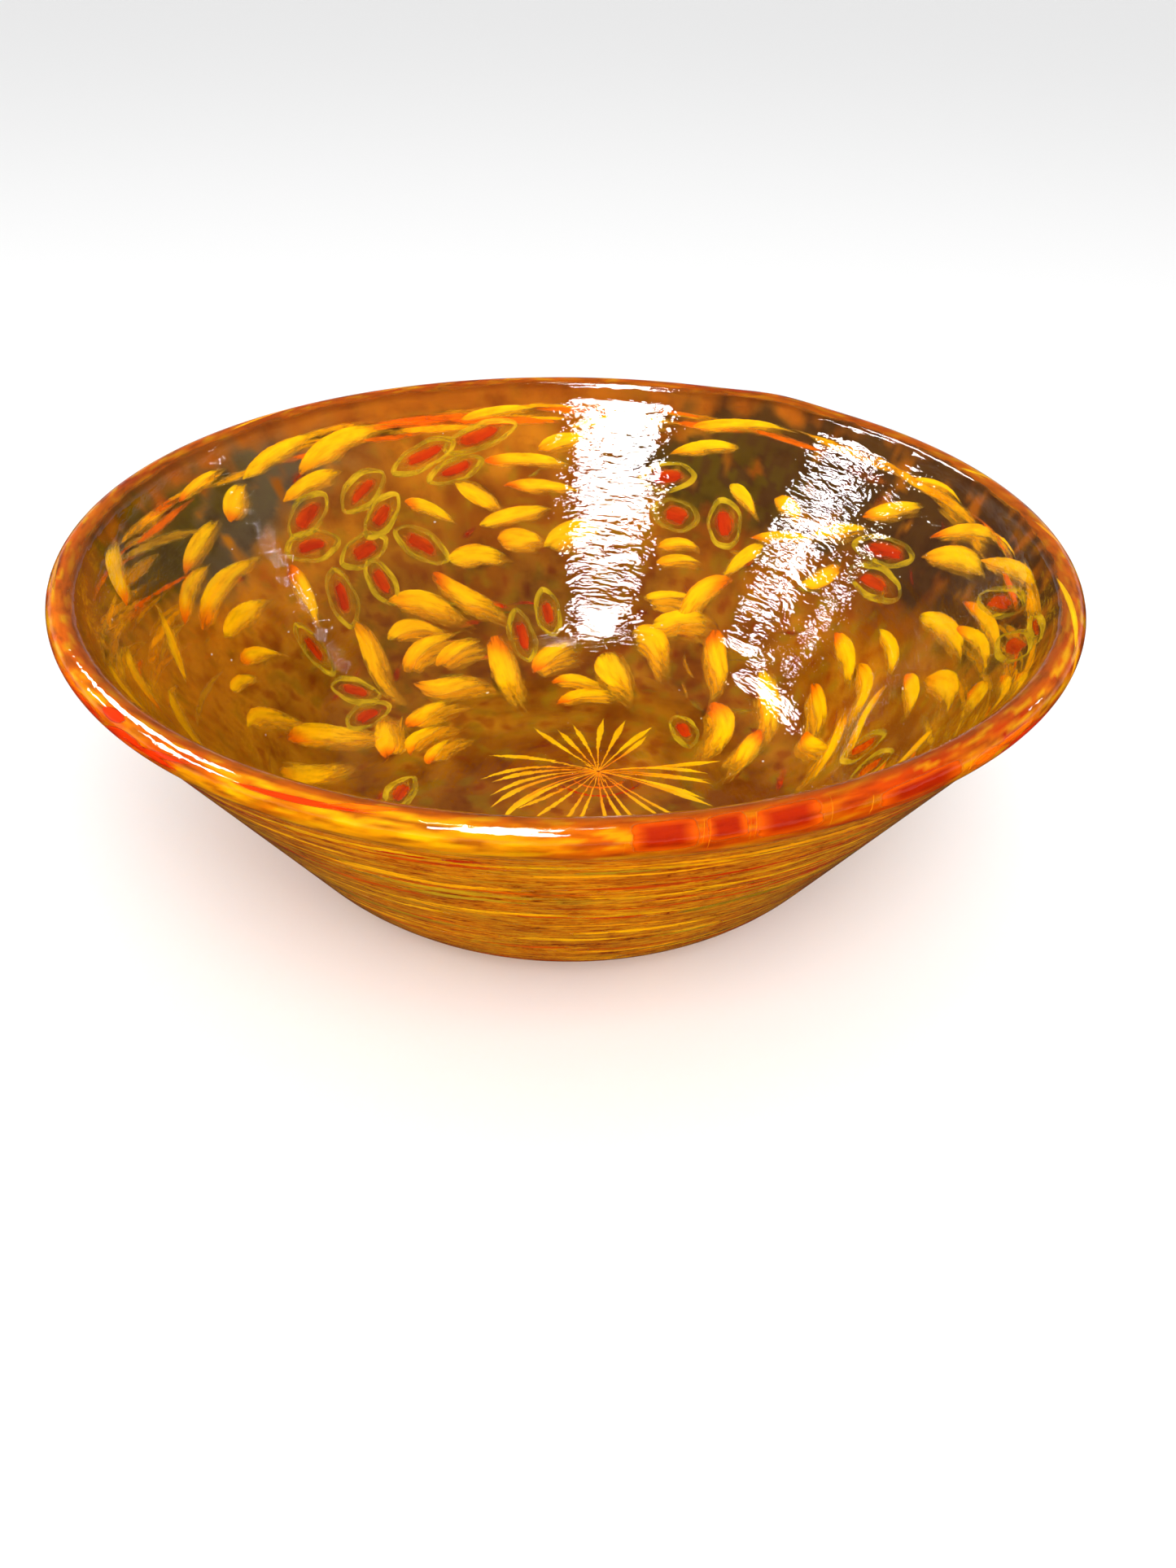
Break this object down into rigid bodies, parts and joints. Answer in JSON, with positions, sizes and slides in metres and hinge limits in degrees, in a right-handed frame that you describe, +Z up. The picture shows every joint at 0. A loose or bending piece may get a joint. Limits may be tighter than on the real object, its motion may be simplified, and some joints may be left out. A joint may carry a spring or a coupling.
{
  "type": "art glass bowl",
  "caption": "Flared blown glass bowl with a flat ground base, a rounded lip wrap, and a wall of fused layers: casing with streaks, patterned ground with petals, and clear lining.",
  "frame": {"origin": "centre of the flat base, on the surface it stands on", "axes": "+Z up, along the bowl's axis of revolution; +X and +Y are level, with the lip's inlays numbered round from +X"},
  "size_m": [0.25, 0.25, 0.088],
  "materials": {
    "lining_glass": "clear gloss with a warm tint",
    "ground_glass": "translucent brown, slate and olive",
    "petal_glass": "opaque yellow to orange",
    "red_glass": "opaque red",
    "green_glass": "opaque olive and yellow-green",
    "orange_glass": "opaque yellow-orange threads",
    "yellow_glass": "opaque bright yellow",
    "lip_glass": "translucent orange-red, fire polished",
    "casing_glass": "translucent amber gloss with fine streaks"
  },
  "bodies": {
    "root": {"clear_lining": "lining_glass", "streaked_casing": "casing_glass", "punty_seal": "casing_glass", "lip_wrap": "lip_glass", "lip_red_blocks": "red_glass", "lip_yellow_slashes": "yellow_glass", "red_streaks": "red_glass", "yellow_streaks": "yellow_glass", "star_threads": "orange_glass", "ground_floor": "ground_glass", "ground_turn_1": "ground_glass", "ground_turn_2": "ground_glass", "ground_turn_3": "ground_glass", "ground_turn_4": "ground_glass", "ground_side_1": "ground_glass", "ground_side_2": "ground_glass", "ground_side_3": "ground_glass", "ground_side_4": "ground_glass", "ground_side_5": "ground_glass", "ground_side_6": "ground_glass", "ground_side_7": "ground_glass", "ground_side_8": "ground_glass", "petals_rim_right": "petal_glass", "petals_right": "petal_glass", "petals_low_right": "petal_glass", "petals_floor_right": "petal_glass", "petals_back_right": "petal_glass", "petals_rim_back": "petal_glass", "petals_low_back_right": "petal_glass", "petals_back": "petal_glass", "petals_mid_back": "petal_glass", "petals_low_back": "petal_glass", "petals_floor_back": "petal_glass", "petals_floor_left": "petal_glass", "petals_rim_left": "petal_glass", "petals_left": "petal_glass", "petals_low_left": "petal_glass", "petals_front_left": "petal_glass", "petals_front": "petal_glass", "petals_front_right": "petal_glass", "petals_floor_front": "petal_glass", "flower_left_cores": "red_glass", "flower_left_rings": "green_glass", "flower_back_cores": "red_glass", "flower_back_rings": "green_glass", "flower_right_cores": "red_glass", "flower_right_rings": "green_glass", "flower_low_cores": "red_glass", "flower_low_rings": "green_glass", "flower_front_cores": "red_glass", "flower_front_rings": "green_glass"}
  },
  "joints": []
}
